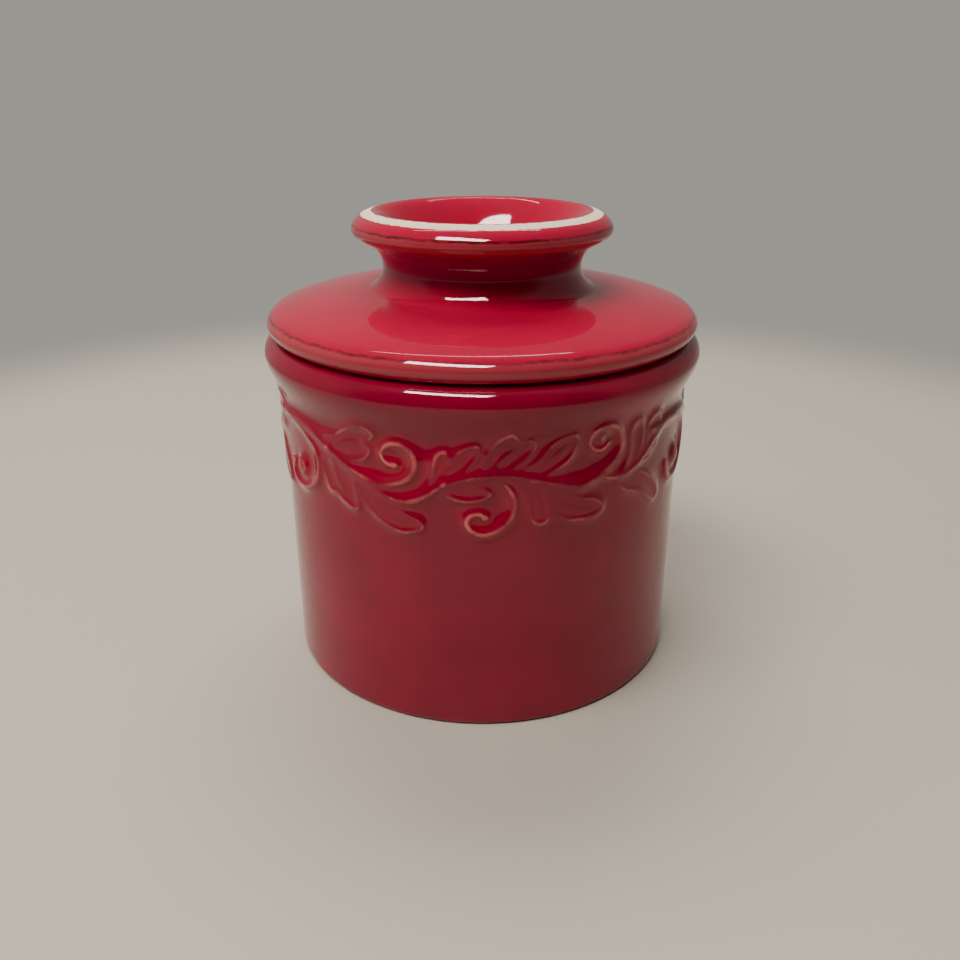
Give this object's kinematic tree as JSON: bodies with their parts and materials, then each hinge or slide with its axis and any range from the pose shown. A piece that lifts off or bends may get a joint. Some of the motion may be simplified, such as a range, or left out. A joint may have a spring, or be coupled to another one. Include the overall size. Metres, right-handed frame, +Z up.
{
  "type": "butter crock",
  "caption": "Glazed stoneware butter crock: a water-holding cylinder with a rolled rim and a lift-off lid whose hanging bell keeps butter under a water seal.",
  "frame": {"origin": "middle of the foot, on the surface the crock stands on", "axes": "+Z up along the axis that both pieces are turned about; -Y is the side seen first, +X is to its right"},
  "size_m": [0.1026, 0.1026, 0.1072],
  "materials": {
    "red_glaze": "glossy deep red breaking glaze over stoneware, lighter where it runs thin on edges and relief",
    "lid_glaze": "glossy deep red glaze, unglazed cream ring on the knob's crown"
  },
  "bodies": {
    "crock": {"crock": "red_glaze"},
    "bell_lid": {"bell_lid": "lid_glaze"}
  },
  "joints": [
    {"name": "lid_lift", "type": "slide", "parent": "crock", "child": "bell_lid", "axis": [0, 0, 1], "range_m": [0, 0.1]}
  ]
}
